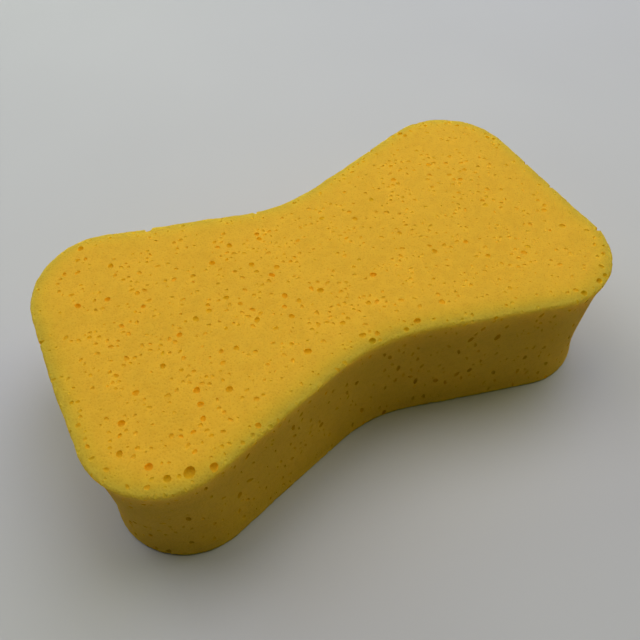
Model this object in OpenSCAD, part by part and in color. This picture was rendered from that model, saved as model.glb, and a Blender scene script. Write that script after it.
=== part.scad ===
// Jumbo cleaning sponge: one block of open-cell foam, die-cut to an hourglass.
//
// The foam is squeezed under the cutting die and springs back afterwards, so its
// wall is hollow between two soft lips. That wall profile is worked out once and
// carried all the way round the outline, always square to the direction in which
// the outline faces, so it runs unbroken through lobes, flanks and waist.
//
// Frame: the origin is the middle of the underside, X runs along the block,
// Y across it and Z up. The open pores are surface texture and aren't drawn here.

/* [Block] */
// Overall length, at the lips of the two ends
block_length = 220; // [180:1:270]
// Overall width, across the two lobes
block_width = 122.5; // [100:0.5:150]
// Thickness of the foam
block_height = 58.5; // [40:0.5:80]

/* [Outline] */
// Width across the waist, where the hand holds the block
waist_width = 84.5; // [68:0.5:96]
// Radius of the four rounded corners
corner_r = 30; // [24:0.5:38]
// Radius of the hollow at each side of the waist
waist_r = 70; // [50:1:90]
// Radius of the slight bow of each end
end_r = 960; // [500:10:2000]

/* [Wall] */
// How far the wall is drawn in at half height, where the die squeezed the foam
wall_hollow = 2; // [0.5:0.1:5]
// Radius of the lips along the top and bottom edges
lip_r = 1.6; // [0.8:0.1:4]

/* [Smoothness] */
// Steps round each corner, from the end to the widest point of the lobe
corner_steps = 14; // [6:1:20]
// Steps from the hollow of the waist to the straight flank
waist_steps = 6; // [3:1:10]
// Steps up the hollow of the wall
hollow_steps = 12; // [6:2:20]
// Steps round each lip, from the flat face to the widest point
lip_steps = 4; // [3:1:8]

/* [Hidden] */
foam_yellow = [0.83, 0.64, 0.18];
end_steps = 3;
lobe_steps = 4;

// Wall hollow: an arc tangent to both lips, as deep as the hollow at half height
lip_rise = block_height / 2 - lip_r;
hollow_r = (lip_rise * lip_rise + wall_hollow * wall_hollow) / (2 * wall_hollow) - lip_r;
hollow_turn = atan2(lip_rise, hollow_r + lip_r - wall_hollow);

// Centres of one quarter's arcs: its end, its corner and its side of the waist
end_centre = [block_length / 2 - end_r, 0];
corner_y = block_width / 2 - corner_r;
corner_x = end_centre.x + sqrt(pow(end_r - corner_r, 2) - corner_y * corner_y);
corner_centre = [corner_x, corner_y];
waist_centre = [0, waist_width / 2 + waist_r];

// Which way the outline faces where one stretch meets the next: end to corner
// along the line of their centres, and corner to waist square to the straight
// flank, which is the line that touches both of their arcs
end_angle = atan2(corner_y, corner_x - end_centre.x);
span = corner_centre - waist_centre;
flank_angle = atan2(span.y, span.x) + acos(-(corner_r + waist_r) / norm(span));

// Stations of the outline are [x, y, angle that the wall faces], evenly spaced
// round an arc. A negative radius is an arc whose centre lies outside the block.
function arc(centre, r, from, to, steps) = [
    for (i = [0:steps]) let (a = from + (to - from) * i / steps)
        [centre.x + r * cos(a), centre.y + r * sin(a), a]
];
function without_first(list) = [for (i = [1:len(list) - 1]) list[i]];

// One quarter, from the middle of the end to the hollow of the waist. The flank
// is the gap between the last station of the corner and the first of the waist.
quarter = concat(
    arc(end_centre, end_r, 0, end_angle, end_steps),
    without_first(arc(corner_centre, corner_r, end_angle, 90, corner_steps)),
    without_first(arc(corner_centre, corner_r, 90, flank_angle, lobe_steps)),
    arc(waist_centre, -waist_r, flank_angle, 90, waist_steps)
);

// The other quarters are the same stations mirrored, in the order that keeps
// the outline running anticlockwise, without the station that two quarters share
last = len(quarter) - 1;
half = concat(
    quarter,
    [for (i = [last - 1:-1:0]) [-quarter[i].x, quarter[i].y, 180 - quarter[i].z]]
);
outline = concat(
    half,
    [for (i = [1:len(half) - 2]) [-half[i].x, -half[i].y, 180 + half[i].z]]
);

// Wall profile from the underside up to the top face, as [distance in, height]
lip_angles = [for (i = [0:lip_steps]) -90 + 90 * i / lip_steps];
lower_lip = [
    for (a = concat(lip_angles, hollow_turn))
        [lip_r - lip_r * cos(a), lip_r + lip_r * sin(a)]
];
hollow = [
    for (i = [1:hollow_steps - 1]) let (a = hollow_turn * (2 * i / hollow_steps - 1))
        [wall_hollow - hollow_r + hollow_r * cos(a), block_height / 2 + hollow_r * sin(a)]
];
upper_lip = [
    for (i = [len(lower_lip) - 1:-1:0]) [lower_lip[i].x, block_height - lower_lip[i].y]
];
profile = concat(lower_lip, hollow, upper_lip);

// The profile carried round the outline: a ring of points for each of its heights,
// joined ring to ring, with a flat face on the lowest ring and on the highest
module swept_block(stations, wall) {
    n = len(stations);
    top = len(wall) - 1;
    polyhedron(
        points = [
            for (w = wall, s = stations)
                [s.x - w.x * cos(s.z), s.y - w.x * sin(s.z), w.y]
        ],
        faces = concat(
            [[for (i = [0:n - 1]) i]],
            [for (k = [0:top - 1], i = [0:n - 1]) let (j = (i + 1) % n)
                [k * n + i, (k + 1) * n + i, (k + 1) * n + j, k * n + j]],
            [[for (i = [n - 1:-1:0]) top * n + i]]
        )
    );
}

module sponge() {
    color(foam_yellow) swept_block(outline, profile);
}

sponge();
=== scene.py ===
import math

import bmesh
import bpy
import numpy as np
from mathutils import Matrix, Vector
from mathutils.geometry import delaunay_2d_cdt


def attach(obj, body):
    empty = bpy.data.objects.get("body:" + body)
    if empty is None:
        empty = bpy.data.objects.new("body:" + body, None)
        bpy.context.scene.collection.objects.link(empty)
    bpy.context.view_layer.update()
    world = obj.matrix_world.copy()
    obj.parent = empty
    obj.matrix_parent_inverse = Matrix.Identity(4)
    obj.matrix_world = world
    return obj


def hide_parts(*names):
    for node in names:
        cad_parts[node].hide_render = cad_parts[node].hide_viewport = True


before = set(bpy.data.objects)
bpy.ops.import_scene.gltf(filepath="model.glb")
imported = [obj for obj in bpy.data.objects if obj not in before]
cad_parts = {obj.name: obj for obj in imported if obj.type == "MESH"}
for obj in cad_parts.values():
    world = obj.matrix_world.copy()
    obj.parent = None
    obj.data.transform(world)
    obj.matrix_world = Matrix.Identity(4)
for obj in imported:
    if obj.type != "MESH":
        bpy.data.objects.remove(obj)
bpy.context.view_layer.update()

MM = 0.001
FULL_TURN = 2 * math.pi

# Every length below is in millimetres, unless its comment says otherwise.

# ---- the block, as the foam is cut ----
BLOCK_LENGTH = 220.0
BLOCK_WIDTH = 122.5
BLOCK_HEIGHT = 58.5
WAIST_WIDTH = 84.5
CORNER_R = 30.0
WAIST_R = 70.0
END_R = 960.0
WALL_HOLLOW = 2.0
LIP_R = 1.0
HOLLOW_POWER = 3       # the higher, the sooner the wall is drawn in under its lip
CROWN = 0.5            # how far the middle of the top stands above the block's own height
ROLL = 1.2             # how far the top falls away again between the seam and the lip

# ---- slow waves of the cut skin ----
WAVES = ((70, 0.14), (45, 0.08), (28, 0.04), (16, 0.02))   # length and height
LIP_WAVES = ((9, 0.04), (6, 0.04))   # length and height, along the lips only
LIP_WAVES_REACH = 2.0
WAVES_OF_A_KIND = 3
DRAWN_IN = 0.1         # how far the whole skin is drawn in, to make up for the waves

# ---- the skin's triangles ----
SEAM_IN = 8.0          # how far in from the edge the side skin meets the flat skins
SEAM_POINTS = 248      # points along that seam
LIP_BAND = 1.6         # how far to either side of a lip the rows of points lie closer
SEAM_ROWS, LIP_ROWS, WALL_ROWS = 4, 7, 20
SKIN_STEP = 3.0        # spacing of the flat skin's plain points
GRID_HALF = (110, 62)  # half the size of the grid that those are taken from
GRID_ROW = 0.866       # its rows lie closer than its points, so that the triangles are even
GRID_SHAKE = 0.9       # how far its points are shaken, from end to end
SIDE_SHAKE = 0.8       # the same for the side skin's points, along the outline
SIDE_SHAKE_SHARE = 0.25   # and down the section, beside the space between the rows
CLEAR_OF_RIM = 0.7     # no plain point lies nearer a rim than this
CLEAR_OF_SEAM = 1.3    # nor nearer the seam than this
POINTS_PER_ARC = 600

# ---- the pores ----
PORE_SEED = 7411
PORES_PER_CM2 = 4.8
PAIRED_SHARE = 0.16    # part of the pores that opens beside another one
FIRST_UNPAIRED = 200   # pores opened before the first of those
WEB = 0.18             # thinnest wall of foam left between two pores
END_CLEAR = 0.4        # foam left between a pore and the side skin's two ends
SEAM_CLEAR = 0.3       # foam left between a pore and a seam
RIM_SHADE = 0.85       # share of a pore's own shade that starts right at its rim
WALL_SHARE = 0.55      # pores of the wall for each one on the same area of the flats
WALL_WIDER = 1.20      # how much wider the pores of the wall open than those of the flats
WALL_DEEPER = 1.1      # how much deeper the pores of the wall run than those of the flats
BELOW_LIP = 2.0        # how far past a lip the wall, and its kind of pores, begins
# share of the pores, and the smallest and largest radius of that share
PORE_SIZES = ((0.13, 0.30, 0.45), (0.32, 0.45, 0.64), (0.40, 0.64, 0.88),
              (0.13, 0.88, 1.08), (0.02, 1.08, 1.30))
# a pore's class: its largest radius, the points round its rim, and the rings below the
# rim as (share of the rim's reach, share of the depth)
PORE_CLASSES = (
    (0.45, 6, ((0.98, 0.65),)),
    (0.64, 8, ((0.98, 0.65),)),
    (0.88, 10, ((0.98, 0.65),)),
    (1.08, 12, ((1.03, 0.42), (0.72, 0.84))),
    (9.00, 18, ((1.03, 0.30), (0.94, 0.62), (0.58, 0.90))),
)
RIM_SHAKE = 0.2        # how far a rim's points are shaken, beside the space between them
# depth beside the radius, and shade: the least of any pore, and the range above that
PORE_DEPTH, PORE_SHADE = (0.46, 0.50), (0.15, 0.60)
WALL_SHADE = (0.03, 0.32)   # what the wall's pores get on top of their shade, likewise
SHADE_FULL_R = 0.7     # pores of a smaller radius are fainter, in proportion
SHADE_MOST = 1.15      # the most that a larger radius adds to the shade's range
WIDE_FROM = 1.05       # pores of a larger radius are rounder and darker
WIDE_SHADE = 1.15      # the least shade of those
WIDEST_FROM = 1.2      # pores of a larger radius are never shallow
WIDEST_DEPTH = 0.90    # the least depth of those beside their radius
TOP_FADE = (1.05, 0.42)     # what the top's pores keep of depth and shade at the left
                            # end, and how much of that is lost by the right end
# how far a rim strays from round, by halves and by thirds of a turn, and its longest
# length beside its width: of any pore, then of a wide one
SHAPE_RANGE = ((0.20, 0.15, 1.5), (0.12, 0.09, 1.2))
# the widest pores of the top: x, y and width across
WIDE_PORES = (
    (-80, -56, 4), (-85, -54, 2.6), (-71, -58, 3), (-56, -34, 2.6), (-55, 0, 2.4),
    (-39, 23, 2.4), (14, -13, 2.6), (-25, -33, 2.8), (-21, -6, 2.4), (-23, -16, 2.2),
    (-36, -47, 3), (-85, -20, 2.4), (-3, -35, 2.4), (-63, -4, 2.2), (-93, -29, 2.6),
    (-92, -49, 2.8), (-41, 4, 2.2), (17, -40, 2.6), (11, 24, 2.2), (23, 17, 2.2),
    (-98, -40, 2.4), (76, -2, 2.2), (-73, -14, 2.2), (30, -37, 2.4),
)

# ---- the lips' own pores ----
# bites out of the top lip: how far round the outline, and width along the lip
LIP_BITES = ((217, 3), (172, 2), (12, 2), (606, 2.4), (636, 2), (107, 2), (303, 2))
BITE_LONG = 2.2        # how much longer a bite runs across the lip than along it
BITE_DOWN = 0.3        # how far below the lip's middle a bite's own middle lies
BITE_DEEP = 0.9        # a bite's depth beside its radius
BITE_SHADE = 0.6
BITE_STRAY = 0.1       # how far a bite's rim strays from round, in each of the two ways
LIP_NICKS = 110        # small pores cut open along each lip
NICK_R = (0.3, 0.62)
NICK_SPREAD = 0.35     # how far they stray to either side of the lip
LARGE_NICKS = 40       # larger ones along the top lip
LARGE_NICK_R = (0.55, 1.0)
LARGE_NICK_SPREAD = 0.3
NICK_LONG = (1.3, 2.2)
ON_LIP = 1.2           # a pore nearer a lip than this is one of the lip's pores
NICK_DEEPER = 0.65     # how deep the pores of the lips run beside those of the flats
NICK_NARROWER = 0.8    # how much a lip pore's rings are drawn in, so that none undercuts it
# how often a place is tried for a pore with no spot of its own, a wide one and a nick
TRIES, WIDE_TRIES, NICK_TRIES = 30, 20, 4
TRY_SHIFT = (0.8, 0.4) # how far a spot is moved for each new try, along and across

# ---- the looks ----
FOAM_TONES = ((0.690, 0.386, 0.020), (0.709, 0.400, 0.023))
# painted shade inside the pores: an olive and an orange, the orange standing for light bounced
# about inside; then the darkest painted shade for the deepest
PAINTED_PORE_SHADES = ((0.61, 0.338, 0.003, 1.0), (0.74, 0.322, 0.002, 1.0))
PAINTED_DEEP_SHADE = (0.31, 0.158, 0.002, 1.0)
WALL_TONE_SHARE = 0.3  # how far the wall's pores go from the first painted pore shade to the second
# Painted light along both lips: on the flats beside a lip the colour loses red, as red light that
# leaks out through the thin edge; on the wall beside either lip it is painted brighter and greener,
# as extra light there.
LIP_LIGHT_REACH = 16.0      # how far from a lip its painted light is felt
LIP_PAINTED_LIGHT = (          # how far in from a lip, below 0 on the wall, and the painted light's tint there
    (-16.0, (1.06, 1.11, 1.10)),
    (-9.0, (1.15, 1.20, 1.20)),
    (-5.0, (1.19, 1.31, 1.35)),
    (-1.5, (1.20, 1.46, 1.7)),
    (0.0, (0.92, 1.15, 1.6)),
    (1.5, (0.80, 0.96, 1.18)),
    (3.0, (0.85, 0.97, 1.00)),
    (5.0, (0.93, 1.00, 0.95)),
    (8.0, (0.97, 0.99, 0.97)),
    (11.0, (0.985, 0.995, 1.0)),
    (16.0, (1.0, 1.0, 1.0)),
)
FLOOR_TONES = ((0.49, 0.49, 0.485), (0.51, 0.51, 0.505))
FLOOR_HALF = 3000.0
# soft lights: name, compass angle from +X, angle above the floor, watts, colour
SOFT_LIGHTS = (
    ("right_overhead", 20, 65, 6.4, (1.0, 1.02, 1.17)),
    ("left_overhead", 120, 65, 4.5, (1.0, 0.9, 0.75)),
    ("left_side", 120, 45, 2.0, (1.0, 1.18, 1.6)),
    ("low_back", 90, 25, 2.9, (1.0, 1.15, 0.8)),
    ("front_fill", -27, 45, 1.65, (1.0, 1.0, 0.2)),
    ("low_right", 40, 25, 0.95, (1.0, 1.05, 2.1)),
    ("low_left", 205, 20, 0.2, (0.9, 1.4, 1.2)),
)
LIGHT_AWAY = 1.2       # metres
LIGHT_ACROSS = 0.9     # metres
ROOM_LIGHT = 0.005     # strength of the even light all round


# ------------------------------------------------------------------ camera
def aim_camera():
    """A camera looking down at the block from the front left.

    back is the unit vector from the point looked at to the lens, from the azimuth
    and the elevation; right is up x back, and roll turns right and up about back.
    """
    azimuth, elevation, roll = map(math.radians, (-26.961, 53.139, -1.223))
    away, look_at = 317.694, np.array((5.458, 16.767, 0.0))
    back = np.array((math.sin(azimuth) * math.cos(elevation),
                     -math.cos(azimuth) * math.cos(elevation),
                     math.sin(elevation)))
    right = np.cross((0, 0, 1), back)
    right /= np.linalg.norm(right)
    up = np.cross(back, right)
    right, up = (math.cos(roll) * right + math.sin(roll) * up,
                 -math.sin(roll) * right + math.cos(roll) * up)
    eye = (look_at + back * away) * MM
    data = bpy.data.cameras.new("camera")
    data.sensor_width = 36.0
    data.lens = 36.994
    data.clip_start = 0.01
    camera = bpy.data.objects.new("camera", data)
    bpy.context.collection.objects.link(camera)
    turn = np.eye(4)
    turn[:3, 0], turn[:3, 1], turn[:3, 2], turn[:3, 3] = right, up, back, eye
    camera.matrix_world = Matrix(turn.tolist())
    bpy.context.scene.camera = camera


# ------------------------------------------------------------------ base forms
def arc(centre, radius, start, stop):
    """Points centre + radius * (cos a, sin a) and the angle a, for a from start to stop."""
    a = np.linspace(start, stop, POINTS_PER_ARC)
    return np.column_stack((centre[0] + radius * np.cos(a), centre[1] + radius * np.sin(a), a))


def block_outline():
    """The block's outline from above as one closed line.

    A quarter is a bow of END_R about a centre on the long axis, a corner of CORNER_R
    tangent to it, a straight flank, and a waist of WAIST_R about a centre outside the
    block; the other quarters are its mirror images. Gives the distance along the line
    and, for each point, x, y and the angle that the wall faces.
    """
    end = (BLOCK_LENGTH / 2 - END_R, 0.0)
    corner_y = BLOCK_WIDTH / 2 - CORNER_R
    corner = (end[0] + math.sqrt((END_R - CORNER_R) ** 2 - corner_y ** 2), corner_y)
    waist = (0.0, WAIST_WIDTH / 2 + WAIST_R)
    end_turn = math.atan2(corner_y, corner[0] - end[0])
    span = (corner[0] - waist[0], corner[1] - waist[1])
    flank_turn = (math.atan2(span[1], span[0])
                  + math.acos(-(CORNER_R + WAIST_R) / math.hypot(*span)))
    quarter = np.vstack((arc(end, END_R, 0, end_turn),
                         arc(corner, CORNER_R, end_turn, flank_turn)[1:],
                         arc(waist, -WAIST_R, flank_turn, math.pi / 2)))
    mirrored = (quarter * (-1, 1, -1) + (0, 0, math.pi))[::-1][1:]
    half = np.vstack((quarter, mirrored))
    whole = np.vstack((half, (half * (-1, -1, 1) + (0, 0, math.pi))[1:]))
    steps = np.hypot(*np.diff(whole[:, :2], axis=0).T)
    return np.concatenate(([0], np.cumsum(steps))), whole


def wall_profile():
    """The side skin's section from the top seam to the bottom seam.

    Straight out from the seam to the lip, the lip's arc of LIP_R, the hollow, which goes
    in by WALL_HOLLOW * (1 - |h|^HOLLOW_POWER) for h from -1 at one lip to 1 at the
    other, then the same mirrored. The soft top then rolls off: each height grows by its
    share of the block's height times CROWN - ROLL * (1 - inset / SEAM_IN)^2. Gives the
    distance along the section and, for each point, how far in it lies, its height and
    the angle above the horizontal that it faces, which is square to the section's run.
    """
    turn = math.atan(HOLLOW_POWER * WALL_HOLLOW / (BLOCK_HEIGHT / 2 - LIP_R))
    a = np.linspace(-math.pi / 2, turn, POINTS_PER_ARC)
    lip = np.column_stack((LIP_R - LIP_R * np.cos(a), LIP_R + LIP_R * np.sin(a)))
    h = np.linspace(-1, 0, POINTS_PER_ARC)
    lip_in, lip_up = lip[-1]
    hollow = np.column_stack((lip_in + (WALL_HOLLOW - lip_in) * (1 - abs(h) ** HOLLOW_POWER),
                              BLOCK_HEIGHT / 2 + (BLOCK_HEIGHT / 2 - lip_up) * h))
    flat = np.column_stack((np.linspace(SEAM_IN, LIP_R, POINTS_PER_ARC),
                            np.zeros(POINTS_PER_ARC)))
    lower = np.vstack((flat[:-1], lip, hollow[1:]))
    upper = (lower * (1, -1) + (0, BLOCK_HEIGHT))[::-1]
    inset, height = np.vstack((lower, upper[1:]))[::-1].T
    height = height + height / BLOCK_HEIGHT * (CROWN - ROLL * (1 - inset / SEAM_IN) ** 2)
    along = np.concatenate(([0], np.cumsum(np.hypot(np.diff(inset), np.diff(height)))))
    lean = np.arctan2(-np.gradient(inset, along), -np.gradient(height, along))
    return along, np.column_stack((inset, height, lean))


OUTLINE_S, OUTLINE = block_outline()
SECTION_T, SECTION = wall_profile()
ROUND = OUTLINE_S[-1]    # length of the outline
DOWN = SECTION_T[-1]     # length of the section
LIP_T = SEAM_IN - LIP_R + LIP_R * math.pi / 4   # how far down the section the lip turns


def side_skin(s, t):
    """The side skin at distance s round the outline and t down the section.

    The point is the outline's point moved in, against the way the wall faces, by the
    section's inset, at the section's height. The normal leans by the section's angle.
    stretch is how many millimetres one millimetre of s is worth there: 1 - inset * bend.
    """
    s = np.mod(s, ROUND)
    x, y, facing = (np.interp(s, OUTLINE_S, OUTLINE[:, k]) for k in range(3))
    inset, height, lean = (np.interp(t, SECTION_T, SECTION[:, k]) for k in range(3))
    points = np.column_stack((x - inset * np.cos(facing), y - inset * np.sin(facing), height))
    normals = np.column_stack((np.cos(lean) * np.cos(facing), np.cos(lean) * np.sin(facing),
                               np.sin(lean)))
    after, before = np.minimum(s + 1.0, ROUND), np.maximum(s - 1.0, 0.0)
    ahead, behind = (np.interp(at, OUTLINE_S, OUTLINE[:, 2]) for at in (after, before))
    bend = (ahead - behind) / (after - before)
    return points, normals, 1 - inset * bend


def top_skin(x, y):
    """The flat top at x, y: height is the block's with its crown, the normal is straight up."""
    x = np.asarray(x, float)
    up = np.broadcast_to((0.0, 0.0, 1.0), (len(x), 3))
    return np.column_stack((x, y, np.full(len(x), BLOCK_HEIGHT + CROWN))), up, np.ones(len(x))


def under_skin(x, y):
    """The flat underside at x, y: height is nought, the normal is straight down."""
    x = np.asarray(x, float)
    down = np.broadcast_to((0.0, 0.0, -1.0), (len(x), 3))
    return np.column_stack((x, y, np.zeros(len(x)))), down, np.ones(len(x))


SKINS = (side_skin, top_skin, under_skin)
SIDE, TOP, UNDER = range(3)


def inside_line(points, line):
    """Which points lie inside the closed line, by counting the edges to the right of each."""
    x, y = points[:, 0, None], points[:, 1, None]
    ax, ay = line[:, 0], line[:, 1]
    bx, by = np.roll(ax, -1), np.roll(ay, -1)
    crosses = (ay > y) != (by > y)
    rise = np.where(by == ay, 1.0, by - ay)
    return (crosses & (x < ax + (y - ay) / rise * (bx - ax))).sum(axis=1) % 2 == 1


def seam_line(count):
    """The seam from above, as count points evenly spaced round the outline."""
    s = np.linspace(0, ROUND, count, endpoint=False)
    return side_skin(s, np.zeros(count))[0][:, :2]


def gaps(points, line):
    """How far each point lies from the nearest of a line's points."""
    return np.min(np.hypot(points[:, None, 0] - line[None, :, 0],
                           points[:, None, 1] - line[None, :, 1]), axis=1)


# ------------------------------------------------------------------ pores
SHAPE_KEYS = ("r", "a2", "a3", "p2", "p3")


def rim_reach(angle, shape):
    """A pore's rim: its radius times 1 + a2 cos(2 angle + p2) + a3 cos(3 angle + p3)."""
    return shape["r"] * (1 + shape["a2"] * np.cos(2 * angle + shape["p2"])
                         + shape["a3"] * np.cos(3 * angle + shape["p3"]))


def rim_local(pores, which, angles):
    """Rim points in the skin's own plane: reach * (cos, sin), drawn out along the pore's
    long way and turned."""
    reach = rim_reach(angles, {key: pores[key][which, None] for key in SHAPE_KEYS})
    long = np.sqrt(pores["long"][which, None])
    a, b = reach * np.cos(angles) * long, reach * np.sin(angles) / long
    turn = pores["turn"][which, None]
    return a * np.cos(turn) - b * np.sin(turn), a * np.sin(turn) + b * np.cos(turn)


def beyond_rim(pores, which, du, dv):
    """How far a point at du, dv from a pore's centre lies past its rim, along its own ray."""
    turn, long = pores["turn"][which], np.sqrt(pores["long"][which])
    a = (du * np.cos(turn) + dv * np.sin(turn)) / long
    b = (-du * np.sin(turn) + dv * np.cos(turn)) * long
    shape = {key: pores[key][which] for key in SHAPE_KEYS}
    return np.hypot(a, b) - rim_reach(np.arctan2(b, a), shape)


def spot_on_skin(x, y):
    """Where a spot of the top lies: on the flat top, or on the side skin if one of the
    outline's points is nearer than the seam is to the edge, beside that point."""
    off = np.hypot(OUTLINE[:, 0] - x, OUTLINE[:, 1] - y)
    nearest = int(np.argmin(off))
    if off[nearest] < SEAM_IN:
        return SIDE, OUTLINE_S[nearest], SEAM_IN - off[nearest]
    return TOP, float(x), float(y)


def pores_wanted(rng, areas):
    """The pores to open, in order, as (spot or None, radius): the wide ones, the nicks of
    both lips, the larger nicks of the top lip, and the rest from widest to narrowest."""
    total = int(areas.sum() / 100 * PORES_PER_CM2)
    kind = rng.choice(len(PORE_SIZES), total, p=[share for share, _, _ in PORE_SIZES])
    low, high = (np.array([size[k] for size in PORE_SIZES])[kind] for k in (1, 2))
    radius = np.sort(low + (high - low) * rng.random(total))[::-1]

    def nick(lip, spread, sizes):
        spot = SIDE, rng.random() * ROUND, lip + rng.normal(0, spread)
        return spot, rng.uniform(*sizes)

    wanted = [(spot_on_skin(x, y), width / 2) for x, y, width in WIDE_PORES]
    for lip in (LIP_T, DOWN - LIP_T):
        wanted += [nick(lip, NICK_SPREAD, NICK_R) for _ in range(LIP_NICKS)]
    wanted += [nick(LIP_T, LARGE_NICK_SPREAD, LARGE_NICK_R) for _ in range(LARGE_NICKS)]
    return wanted + [(None, r) for r in radius]


def random_place(rng, areas):
    """An even choice of place over the three skins."""
    skin = rng.choice(3, p=areas / areas.sum())
    if skin == SIDE:
        return skin, rng.random() * ROUND, rng.random() * DOWN
    u, v = rng.random() * BLOCK_LENGTH, rng.random() * BLOCK_WIDTH
    return skin, u - BLOCK_LENGTH / 2, v - BLOCK_WIDTH / 2


def place_beside(rng, table, reaches, r):
    """A place beside one of the pores already open, none of them among the first third:
    as far from it as the two radii, a little more, and up to a millimetre."""
    count = len(reaches)
    other = rng.integers(count // 3, count)
    skin, turn = int(table["skin"][other]), rng.random() * FULL_TURN
    gap = 1.15 * r + reaches[other] + 0.15 + rng.random()
    stretch = SKINS[skin](table["u"][other:other + 1], table["v"][other:other + 1])[2][0]
    return (skin, table["u"][other] + gap * math.cos(turn) / stretch,
            table["v"][other] + gap * math.sin(turn))


def long_and_turn(rng, on_wall, is_nick, u, long_most):
    """How much longer a pore is than wide, and which way it runs.

    On the wall it runs upright, and is the longer and the more upright the more the wall
    faces across the block, by the sixth power of the sine of the angle that it faces. A
    nick runs across its lip, and any other pore any way.
    """
    if on_wall:
        facing = np.interp(u % ROUND, OUTLINE_S, OUTLINE[:, 2])
        long_wall = abs(math.sin(facing)) ** 6
        long = 1 + rng.uniform(0.1, 0.5) + long_wall * rng.uniform(0.2, 1.3)
        return long, rng.normal(math.pi / 2 - 0.08, 0.25 + 0.6 * (1 - long_wall))
    if is_nick:
        return rng.uniform(*NICK_LONG), rng.normal(math.pi / 2, 0.3)
    return rng.uniform(1.0, long_most), rng.uniform(0, math.pi)


def throw_pores():
    """Pores opened one after another.

    The first are LIP_BITES, cut across the top lip. The widest lie where WIDE_PORES has
    them. Then nicks are opened along the lips, and the rest land evenly over the skin,
    or beside an earlier one. A pore is kept if its rim's furthest reach leaves a web to
    every earlier one, and if it stays clear of the seams between the skins.
    """
    rng = np.random.default_rng(PORE_SEED)
    seam = seam_line(800)
    x, y = seam.T
    flat_area = 0.5 * abs(np.dot(x, np.roll(y, -1)) - np.dot(y, np.roll(x, -1)))
    side_area = ROUND * (2 * SEAM_IN + WALL_SHARE * (DOWN - 2 * SEAM_IN))
    areas = np.array((side_area, flat_area, flat_area))
    wanted = pores_wanted(rng, areas)

    count = len(LIP_BITES)
    kept = np.zeros((count + len(wanted), 4))
    table = {key: np.zeros(len(kept)) for key in ("skin", "u", "v", "long", "turn") + SHAPE_KEYS}
    bites, bite_r = np.array(LIP_BITES, float).T
    bite_r *= 0.5 * math.sqrt(BITE_LONG)
    kept[:count, :3] = side_skin(bites, np.full(count, LIP_T))[0]
    kept[:count, 3] = bite_r * math.sqrt(BITE_LONG) * (1 + 2 * BITE_STRAY)
    bite_rows = dict(u=bites, v=LIP_T + BITE_DOWN, long=BITE_LONG, turn=math.pi / 2, r=bite_r,
                     a2=BITE_STRAY, a3=BITE_STRAY, p2=bites, p3=2 * bites)
    for key, value in bite_rows.items():
        table[key][:count] = value

    for spot, r in wanted:
        stray_2, stray_3, long_most = SHAPE_RANGE[int(r >= WIDE_FROM)]
        tries = TRIES if spot is None else WIDE_TRIES if r > WIDE_FROM else NICK_TRIES
        for attempt in range(tries):
            if spot is not None:
                skin, u, v = spot
                if attempt:
                    u, v = u + rng.normal(0, TRY_SHIFT[0]), v + rng.normal(0, TRY_SHIFT[1])
            elif count > FIRST_UNPAIRED and rng.random() < PAIRED_SHARE:
                skin, u, v = place_beside(rng, table, kept[:count, 3], r)
            else:
                skin, u, v = random_place(rng, areas)
            a2, a3 = rng.uniform(0.0, stray_2), rng.uniform(0.0, stray_3)
            on_wall = skin == SIDE and LIP_T + BELOW_LIP < v < DOWN - LIP_T - BELOW_LIP
            if on_wall and rng.random() > WALL_SHARE:
                continue
            is_nick = skin == SIDE and spot is not None and r < WIDE_FROM
            long, turn = long_and_turn(rng, on_wall, is_nick, u, long_most)
            wide = r * (WALL_WIDER if on_wall else 1.0)
            reach = wide * math.sqrt(long) * (1 + a2 + a3)
            if skin == SIDE:
                end, edge = reach + END_CLEAR, reach + SEAM_CLEAR
                if not (end < u < ROUND - end and edge < v < DOWN - edge):
                    continue
            elif (gaps(np.array([[u, v]]), seam)[0] < reach + SEAM_CLEAR
                  or not inside_line(np.array([[u, v]]), seam)[0]):
                continue
            point = SKINS[skin](np.array([u]), np.array([v]))[0][0]
            webs = np.linalg.norm(kept[:count, :3] - point, axis=1) - kept[:count, 3]
            if webs.min() < reach + WEB:
                continue
            kept[count] = (*point, reach)
            row = dict(skin=skin, u=u, v=v, long=long, turn=turn, r=wide, a2=a2, a3=a3,
                       p2=rng.uniform(0, FULL_TURN), p3=rng.uniform(0, FULL_TURN))
            for key, value in row.items():
                table[key][count] = value
            count += 1
            break
    pores = {key: value[:count] for key, value in table.items()}
    pores["skin"] = pores["skin"].astype(int)
    finish_pores(rng, pores, bite_r)
    return pores


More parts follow.
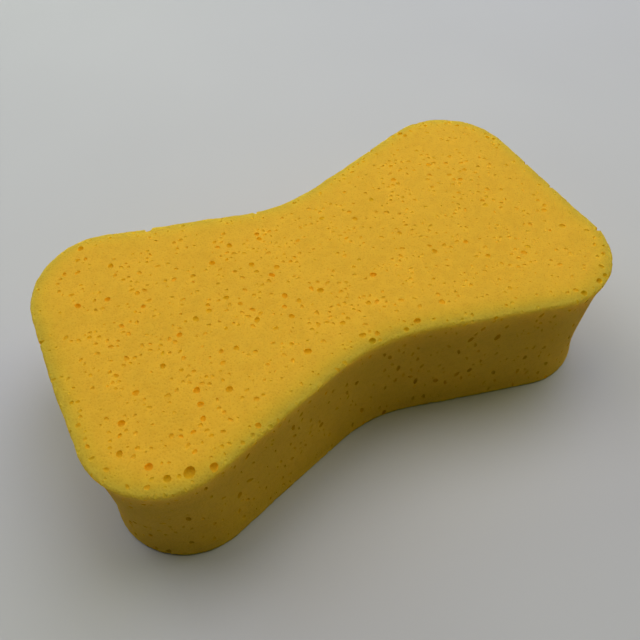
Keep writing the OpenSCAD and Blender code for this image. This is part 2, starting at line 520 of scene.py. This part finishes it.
def finish_pores(rng, pores, bite_r):
    """Gives every pore what its cavity and its colour need.

    deep is the radius times a share, between a half and nearly the whole. tone goes from one
    painted pore shade to the other, olive to an orange that stands for light bounced about inside
    the cavity. shade is how much painted shade the pore gets, from the skin's own colour, at 0,
    through its tone, at 1, to the darkest painted shade, at 2. narrow is how much its rings are
    drawn in, and stretch is the skin's own.
    """
    count, wide = len(pores["r"]), pores["r"]
    side = pores["skin"] == SIDE
    on_wall = side & (abs(pores["v"] - DOWN / 2) < DOWN / 2 - LIP_T - BELOW_LIP)
    deep = wide * (PORE_DEPTH[0] + PORE_DEPTH[1] * rng.random(count))
    deep *= np.where(on_wall, WALL_DEEPER, 1.0)
    tone = rng.random(count) ** 1.1 * np.where(on_wall, WALL_TONE_SHARE, 1.0)
    by_size = np.minimum(wide / SHADE_FULL_R, SHADE_MOST)
    shade = PORE_SHADE[0] + PORE_SHADE[1] * rng.random(count) ** 1.3 * by_size
    shade = np.maximum(shade, np.where(wide > WIDE_FROM, WIDE_SHADE, 0.0))
    deep = np.maximum(deep, np.where(wide > WIDEST_FROM, WIDEST_DEPTH * wide, 0.0))
    from_lip = np.minimum(abs(pores["v"] - LIP_T), abs(pores["v"] - DOWN + LIP_T))
    deep *= np.where(side & (from_lip < ON_LIP), NICK_DEEPER, 1.0)
    deep[:len(LIP_BITES)] = BITE_DEEP * bite_r
    shade[:len(LIP_BITES)] = BITE_SHADE
    shade += np.where(on_wall, WALL_SHADE[0] + WALL_SHADE[1] * rng.random(count), 0.0)
    from_left = pores["u"] / BLOCK_LENGTH + 0.5
    fainter = np.where(pores["skin"] == TOP, TOP_FADE[0] - TOP_FADE[1] * from_left, 1.0)
    stretch = np.ones(count)
    stretch[side] = side_skin(pores["u"][side], pores["v"][side])[2]
    pores.update(deep=deep * fainter, tone=tone, shade=shade * fainter, stretch=stretch,
                 narrow=np.where(side & (from_lip < BELOW_LIP), NICK_NARROWER, 1.0))


# ------------------------------------------------------------------ skin
def side_chart(rng):
    """The side skin's own points: seam rows at its top and bottom, one column at either
    end of the outline, and rows between them that lie closer where the lips turn.

    Gives the fixed points, the plain ones, the fixed edges, and for each fixed point the
    number of the one it coincides with, as the two end columns are one and the same.
    """
    band = (LIP_T - LIP_BAND, LIP_T + LIP_BAND)
    rows = np.concatenate((np.linspace(0, band[0], SEAM_ROWS), np.linspace(*band, LIP_ROWS)[1:],
                           np.linspace(band[1], DOWN - band[1], WALL_ROWS)[1:]))
    rows = np.concatenate((rows, DOWN - rows[:SEAM_ROWS + LIP_ROWS - 1]))
    rows = np.unique(np.round(rows, 6))
    seam_s = np.arange(SEAM_POINTS) * ROUND / SEAM_POINTS
    n = SEAM_POINTS + 1
    inner = rows[1:-1]
    around = np.append(seam_s, ROUND)
    fixed = np.vstack((np.column_stack((around, np.zeros(n))),
                       np.column_stack((around, np.full(n, DOWN))),
                       np.column_stack((np.zeros(len(inner)), inner)),
                       np.column_stack((np.full(len(inner), ROUND), inner))))
    s, t = np.meshgrid(seam_s[1:], inner)
    slack = np.interp(t, inner, np.minimum(np.diff(rows)[:-1], np.diff(rows)[1:]))
    s = s + (rng.random(s.shape) - 0.5) * SIDE_SHAKE
    t = t + (rng.random(t.shape) - 0.5) * SIDE_SHAKE_SHARE * slack
    low = np.arange(SEAM_POINTS)
    first = 2 * n + np.arange(len(inner))
    last = first + len(inner)
    left = np.concatenate(([0], first, [n]))
    right = np.concatenate(([n - 1], last, [2 * n - 1]))
    edges = np.vstack((np.column_stack((low, low + 1)), np.column_stack((low + n, low + n + 1)),
                       np.column_stack((left[:-1], left[1:])),
                       np.column_stack((right[:-1], right[1:]))))
    same = np.arange(len(fixed))
    same[n - 1], same[2 * n - 1], same[last] = 0, n, first
    return fixed, np.column_stack((s.ravel(), t.ravel())), edges, same


def flat_chart(rng, row):
    """A flat skin's own points: the seam that it shares with the side skin's row, and a
    staggered grid inside it, a little shaken. Gives what side_chart gives."""
    seam_s = np.arange(SEAM_POINTS) * ROUND / SEAM_POINTS
    seam = side_skin(seam_s, np.full(SEAM_POINTS, row))[0][:, :2]
    x, y = np.meshgrid(np.arange(-GRID_HALF[0], GRID_HALF[0], SKIN_STEP),
                       np.arange(-GRID_HALF[1], GRID_HALF[1], SKIN_STEP * GRID_ROW))
    x = x + (np.arange(x.shape[0]) % 2 * SKIN_STEP / 2)[:, None]
    spread = np.column_stack((x.ravel(), y.ravel()))
    spread = spread + (rng.random((x.size, 2)) - 0.5) * GRID_SHAKE
    spread = spread[(gaps(spread, seam) > CLEAR_OF_SEAM) & inside_line(spread, seam)]
    low = np.arange(SEAM_POINTS)
    return seam, spread, np.column_stack((low, (low + 1) % SEAM_POINTS)), low


def lip_distance(skin, chart):
    """How far a chart's points lie from the nearer lip, along the skin: above 0 on the
    flats, below 0 on the wall, where it grows four times as fast up from the lower lip."""
    if skin == SIDE:
        lower = LIP_T - DOWN + chart[:, 1]
        return np.maximum(LIP_T - chart[:, 1], np.where(lower < 0, 4 * lower, lower))
    return LIP_T + gaps(chart, seam_line(500))


def open_skin(rng, skin, pores):
    """One skin as a flat chart with its pores cut out.

    The chart's own points and every pore's rim are joined by Delaunay triangles that
    keep the rims whole, and the triangles inside the rims are left out. Gives the points,
    the pore that each belongs to or -1, the triangles, which fixed points coincide, and
    for each class of pores which they are, their rims in the skin's plane and the
    numbers of the rims' points.
    """
    mine = np.flatnonzero(pores["skin"] == skin)
    size_class = np.searchsorted([c[0] for c in PORE_CLASSES], pores["r"])
    stretch = pores["stretch"]
    if skin == SIDE:
        fixed, spread, edges, same = side_chart(rng)
    else:
        fixed, spread, edges, same = flat_chart(rng, 0.0 if skin == TOP else DOWN)
    du = (spread[:, 0, None] - pores["u"][mine]) * stretch[mine]
    dv = spread[:, 1, None] - pores["v"][mine]
    spread = spread[(beyond_rim(pores, mine, du, dv) > CLEAR_OF_RIM).all(axis=1)]
    start = len(fixed) + len(spread)
    chart, owner, rims = [fixed, spread], [np.full(start, -1)], []
    for c, (_, count, _) in enumerate(PORE_CLASSES):
        which = mine[size_class[mine] == c]
        shaken = np.arange(count) + rng.uniform(-RIM_SHAKE, RIM_SHAKE, (len(which), count))
        across, along = rim_local(pores, which, shaken * FULL_TURN / count)
        index = start + np.arange(len(which) * count).reshape(len(which), count)
        u = pores["u"][which, None] + across / stretch[which, None]
        chart.append(np.column_stack((u.ravel(), (pores["v"][which, None] + along).ravel())))
        owner.append(np.repeat(which, count))
        loop = np.column_stack((index.ravel(), np.roll(index, -1, axis=1).ravel()))
        edges = np.vstack((edges, loop))
        rims.append((which, across, along, index))
        start += len(which) * count
    chart, owner = np.vstack(chart), np.concatenate(owner)
    spots = [Vector(p) for p in chart.tolist()]
    joined = delaunay_2d_cdt(spots, edges.tolist(), [], 0, 1e-5, False)
    if len(joined[0]) != len(chart):
        raise ValueError("pore rims cross")
    tri = np.array(joined[2])
    own = owner[tri]
    one_rim = (own[:, 0] >= 0) & (own[:, 0] == own[:, 1]) & (own[:, 0] == own[:, 2])
    middle, p = chart[tri].mean(axis=1), np.maximum(own[:, 0], 0)
    past = beyond_rim(pores, p, (middle[:, 0] - pores["u"][p]) * stretch[p],
                      middle[:, 1] - pores["v"][p])
    tri = tri[~(one_rim & (past < 0))]
    if skin != SIDE:
        tri = tri[inside_line(chart[tri].mean(axis=1), fixed)]
    return chart, owner, tri, np.concatenate((same, np.arange(len(same), len(chart)))), rims


class Foam:
    """Points with what they carry, and triangles with the shade at each corner."""

    def __init__(self):
        self.columns = {key: [] for key in ("point", "normal", "tone", "lip", "rim")}
        self.faces, self.shades, self.count = [], [], 0

    def add(self, *values):
        """Points, their normals, tones, distances from the lip, and the pore on whose rim
        they lie or -1. Gives the number of the first point."""
        for column, value in zip(self.columns.values(), values):
            column.append(value)
        first, self.count = self.count, self.count + len(values[0])
        return first

    def add_faces(self, corners, shade, share=(0.0, 0.0, 0.0)):
        """Triangles, and the share of a pore's shade that each corner gets."""
        shade = np.asarray(shade)[..., None] * np.array(share) + np.zeros(corners.shape)
        self.shades.append(shade.reshape(-1, 3))
        self.faces.append(corners.reshape(-1, 3))

    def joined(self):
        """The whole in three arrays, without the points that no triangle uses."""
        columns = {key: np.concatenate(value) for key, value in self.columns.items()}
        used, faces = np.unique(np.vstack(self.faces), return_inverse=True)
        return ({key: value[used] for key, value in columns.items()}, faces.reshape(-1, 3),
                np.vstack(self.shades))


def hang_cavities(foam, skin, pores, which, rim, above, rings):
    """The cavities below a class of rims.

    A ring is the rim drawn in by a share and sunk, against the pore's own normal, by a
    share of its depth. The last ring closes on one point at the full depth.
    """
    across, along = rim
    stretch, deep = pores["stretch"][which, None], pores["deep"][which]
    count = across.shape[1]
    centre, normal, _ = SKINS[skin](pores["u"][which], pores["v"][which])
    lip = lip_distance(skin, np.column_stack((pores["u"][which], pores["v"][which])))
    shade = np.repeat(pores["shade"][which, None], count, axis=1)
    light = RIM_SHADE
    for share, down in rings:
        share = share * pores["narrow"][which, None]
        on, _, _ = SKINS[skin]((pores["u"][which, None] + across * share / stretch).ravel(),
                               (pores["v"][which, None] + along * share).ravel())
        drop = np.repeat(deep * down, count)
        leaning = np.repeat(normal, count, axis=0)
        first = foam.add(on - leaning * drop[:, None], leaning,
                         np.repeat(pores["tone"][which], count), np.repeat(lip, count),
                         np.full(len(drop), -1))
        below = first + np.arange(len(drop)).reshape(above.shape)
        above_next, below_next = np.roll(above, -1, axis=1), np.roll(below, -1, axis=1)
        # the painted shade grows from the rim's share to the full shade with depth
        dark = RIM_SHADE + (1 - RIM_SHADE) * down
        foam.add_faces(np.stack((above, above_next, below_next), -1), shade, (light, light, dark))
        foam.add_faces(np.stack((above, below_next, below), -1), shade, (light, dark, dark))
        above, light = below, dark
    first = foam.add(centre - normal * deep[:, None], normal, pores["tone"][which], lip,
                     np.full(len(which), -1))
    bottom = np.broadcast_to((first + np.arange(len(which)))[:, None], above.shape)
    foam.add_faces(np.stack((above, np.roll(above, -1, axis=1), bottom), -1), shade,
                   (light, light, 1.0))


def foam_mesh():
    """The whole skin with its pores as one closed mesh.

    Each skin's chart has its pores cut out, every point of it is carried to its place by
    its skin's own function, and a cavity is hung below each rim. The points of the flat
    skins' seams are the side skin's own.
    """
    rng = np.random.default_rng(PORE_SEED + 1)
    pores = throw_pores()
    foam = Foam()
    for skin in (SIDE, TOP, UNDER):
        chart, owner, tri, same, rims = open_skin(rng, skin, pores)
        where, facing, _ = SKINS[skin](chart[:, 0], chart[:, 1])
        base = foam.add(where, facing, pores["tone"][owner] * (owner >= 0),
                        lip_distance(skin, chart), owner)
        to_all = same + base
        if skin != SIDE:
            to_all[:SEAM_POINTS] = np.arange(SEAM_POINTS) + (0 if skin == TOP else SEAM_POINTS + 1)
        foam.add_faces(to_all[tri], np.zeros(len(tri)))
        for (which, across, along, index), (_, _, rings) in zip(rims, PORE_CLASSES):
            hang_cavities(foam, skin, pores, which, (across, along), index + base, rings)
    return foam.joined()


def swell(points, normals, lip):
    """Low waves of the cut skin: a sum of slow sines of place, moved along the normal.
    Within a few millimetres of a lip, quick ones add to them, times
    exp(-(lip / LIP_WAVES_REACH)^2).

    What faces down is never moved down, so that the underside still rests on its plane.
    """
    rng = np.random.default_rng(PORE_SEED + 2)
    total = np.zeros(len(points))
    near_lip = np.exp(-(lip / LIP_WAVES_REACH) ** 2)
    for waves, felt in ((WAVES, 1.0), (LIP_WAVES, near_lip)):
        for wave, height in waves:
            for _ in range(WAVES_OF_A_KIND):
                way = rng.normal(size=3)
                way *= FULL_TURN / wave / np.linalg.norm(way)
                total += height * np.sin(points @ way + rng.uniform(0, FULL_TURN)) * felt
    total -= DRAWN_IN
    moved = points + normals * total[:, None]
    moved[:, 2] -= np.minimum(normals[:, 2], 0.0) * np.maximum(total, 0.0)
    return moved


# ------------------------------------------------------------------ finish
class Net:
    """Short words for joining a material's nodes."""

    def __init__(self, name):
        self.material = bpy.data.materials.new(name)
        self.material.use_nodes = True
        self.tree = self.material.node_tree
        self.tree.nodes.clear()

    def node(self, kind, inputs=(), **settings):
        made = self.tree.nodes.new("ShaderNode" + kind)
        for key, value in settings.items():
            setattr(made, key, value)
        for key, value in dict(inputs).items():
            if isinstance(value, bpy.types.NodeSocket):
                self.tree.links.new(value, made.inputs[key])
            else:
                made.inputs[key].default_value = value
        return made

    def noise(self, place, scale, detail, roughness):
        return self.node("TexNoise", {"Vector": place, "Scale": scale, "Detail": detail,
                                      "Roughness": roughness}).outputs["Fac"]

    def ramp(self, factor, stops):
        made = self.node("ValToRGB", {"Fac": factor})
        while len(made.color_ramp.elements) < len(stops):
            made.color_ramp.elements.new(0.5)
        for element, (at, colour) in zip(made.color_ramp.elements, stops):
            element.position, element.color = at, (*colour, 1.0)
        return made.outputs["Color"]

    def span(self, value, low, high):
        """How far a value is on its way from low to high, from 0 to 1."""
        return self.node("MapRange", {"Value": value, "From Min": low,
                                      "From Max": high}).outputs["Result"]

    def mix(self, share, first, second, blend="MIX"):
        return self.node("Mix", {0: share, 6: first, 7: second}, data_type="RGBA",
                         blend_type=blend).outputs[2]

    def measure(self, name):
        return self.node("Attribute", attribute_name=name,
                         attribute_type="GEOMETRY").outputs["Fac"]


def foam_finish():
    """Open-cell foam: an orange yellow, lemon along the lips as painted light, that goes deeper
    down the pores as painted shade; light spreads millimetres under the skin, and cut cells give a
    fine grain, with painted shade in their tiny pits."""
    net = Net("yellow_foam")
    place = net.node("TexCoord").outputs["Object"]
    patch = net.noise(place, 38.0, 2.0, 0.6)
    mottle = net.noise(place, 330.0, 2.0, 0.5)
    grain = net.noise(place, 1400.0, 4.0, 0.65)
    cells = net.node("TexVoronoi", {"Vector": place, "Scale": 1050.0}, feature="F1")
    cells = cells.outputs["Distance"]
    body = net.ramp(patch, ((0.3, FOAM_TONES[0]), (0.7, FOAM_TONES[1])))
    # painted shade: darker dots at the tiny cells' middles, where the bump sinks them into pits
    painted_pit_shade = net.ramp(cells, ((0.12, (0.90, 0.87, 0.78)), (0.42, (1.0, 1.0, 1.0))))
    body = net.mix(1.0, body, painted_pit_shade, "MULTIPLY")
    cloud = net.ramp(mottle, ((0.3, (0.955, 0.94, 0.86)), (0.6, (1.0, 1.0, 1.0))))
    body = net.mix(1.0, body, cloud, "MULTIPLY")
    # painted light along the lips: less red on the flats beside them, as red light that leaks out
    # through the thin edge, brighter and greener on the wall side, gone at the reach set above
    past = net.span(net.measure("lip_distance"), -LIP_LIGHT_REACH, LIP_LIGHT_REACH)
    painted_lip_light = net.ramp(past, [((at + LIP_LIGHT_REACH) / (2 * LIP_LIGHT_REACH), tint) for at, tint in LIP_PAINTED_LIGHT])
    # painted shade inside the pores, from the skin's colour through the pore's tone to the darkest
    # painted shade
    inside = net.mix(net.measure("pore_tone"), *PAINTED_PORE_SHADES)
    shade = net.measure("pore_shade")
    colour = net.mix(net.span(shade, 0.0, 1.0), body, inside)
    colour = net.mix(net.span(shade, 1.0, 2.0), colour, PAINTED_DEEP_SHADE)
    colour = net.mix(1.0, colour, painted_lip_light, "MULTIPLY")
    relief = net.node("Math", {0: grain, 1: cells}, operation="ADD").outputs[0]
    bump = net.node("Bump", {"Height": relief, "Strength": 0.5, "Distance": 0.0003})
    shader = net.node("BsdfPrincipled", {
        "Base Color": colour, "Roughness": 0.9, "Normal": bump.outputs["Normal"],
        "Specular IOR Level": 0.25, "Subsurface Weight": 0.62,
        "Subsurface Radius": (1.0, 0.6, 0.25), "Subsurface Scale": 0.011})
    shader.subsurface_method = "BURLEY"
    net.node("OutputMaterial", {"Surface": shader.outputs["BSDF"]})
    return net.material


def floor_finish():
    """A smooth matt grey table, with the faintest unevenness of tone."""
    net = Net("pale_floor")
    place = net.node("TexCoord").outputs["Object"]
    tone = net.noise(place, 6.0, 2.0, 0.5)
    colour = net.ramp(tone, ((0.3, FLOOR_TONES[0]), (0.7, FLOOR_TONES[1])))
    shader = net.node("BsdfPrincipled", {"Base Color": colour, "Roughness": 0.75})
    net.node("OutputMaterial", {"Surface": shader.outputs["BSDF"]})
    return net.material


# ------------------------------------------------------------------ pieces
def add_piece(name, points, faces, material):
    """One mesh object at the origin, in metres, from points and faces of one size."""
    mesh = bpy.data.meshes.new(name)
    mesh.vertices.add(len(points))
    mesh.vertices.foreach_set("co", (points * MM).astype(np.float32).ravel())
    mesh.loops.add(faces.size)
    mesh.loops.foreach_set("vertex_index", faces.astype(np.int32).ravel())
    mesh.polygons.add(len(faces))
    mesh.polygons.foreach_set("loop_start",
                              np.arange(0, faces.size, faces.shape[1], dtype=np.int32))
    mesh.polygons.foreach_set("use_smooth", np.ones(len(faces), bool))
    mesh.update(calc_edges=True)
    mesh.validate()
    mesh.materials.append(material)
    piece = bpy.data.objects.new(name, mesh)
    bpy.context.collection.objects.link(piece)
    return piece


def outward(mesh):
    """Turns every face to point out of the closed mesh."""
    work = bmesh.new()
    work.from_mesh(mesh)
    bmesh.ops.recalc_face_normals(work, faces=work.faces[:])
    work.to_mesh(mesh)
    work.free()


def store(mesh, name, kind, domain, values):
    """A named attribute of the mesh."""
    mesh.attributes.new(name, kind, domain).data.foreach_set("value", values)


def make_foam():
    """The foam block, with what its finish reads, and crisp edges round the pores' rims."""
    foam, faces, shades = foam_mesh()
    points = swell(foam["point"], foam["normal"], foam["lip"])
    piece = add_piece("foam_block", points, faces, foam_finish())
    mesh = piece.data
    store(mesh, "pore_tone", "FLOAT", "POINT", foam["tone"].astype(np.float32))
    store(mesh, "lip_distance", "FLOAT", "POINT", foam["lip"].astype(np.float32))
    store(mesh, "pore_shade", "FLOAT", "CORNER", shades.astype(np.float32).ravel())
    outward(mesh)
    ends = np.zeros(len(mesh.edges) * 2, np.int32)
    mesh.edges.foreach_get("vertices", ends)
    rim = foam["rim"][ends.reshape(-1, 2)]
    crisp = (rim[:, 0] >= 0) & (rim[:, 0] == rim[:, 1])
    store(mesh, "sharp_edge", "BOOLEAN", "EDGE", crisp)
    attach(piece, "root")
    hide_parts("sponge")


def make_floor():
    """A square floor that the block stands on."""
    points = np.array(((-1, -1, 0), (1, -1, 0), (1, 1, 0), (-1, 1, 0))) * FLOOR_HALF
    floor = add_piece("floor", points, np.array(((0, 1, 2, 3),)), floor_finish())


# ------------------------------------------------------------------ light
def light_studio():
    """Round soft lights aimed at the block: most of it from overhead and behind."""
    for name, compass, above, watts, colour in SOFT_LIGHTS:
        data = bpy.data.lights.new(name, "AREA")
        data.shape = "DISK"
        data.size = LIGHT_ACROSS
        data.energy = watts
        data.color = colour
        lamp = bpy.data.objects.new(name, data)
        bpy.context.collection.objects.link(lamp)
        a, b = math.radians(compass), math.radians(above)
        way = Vector((math.cos(a) * math.cos(b), math.sin(a) * math.cos(b), math.sin(b)))
        lamp.location = way * LIGHT_AWAY
        lamp.rotation_euler = (-lamp.location).to_track_quat("-Z", "Y").to_euler()
    world = bpy.data.worlds.new("room")
    bpy.context.scene.world = world
    world.use_nodes = True
    background = world.node_tree.nodes["Background"]
    background.inputs["Color"].default_value = (1.0, 1.0, 1.0, 1.0)
    background.inputs["Strength"].default_value = ROOM_LIGHT
    bpy.context.scene.view_settings.view_transform = "Standard"


aim_camera()
make_floor()
make_foam()
light_studio()

bpy.context.view_layer.update()
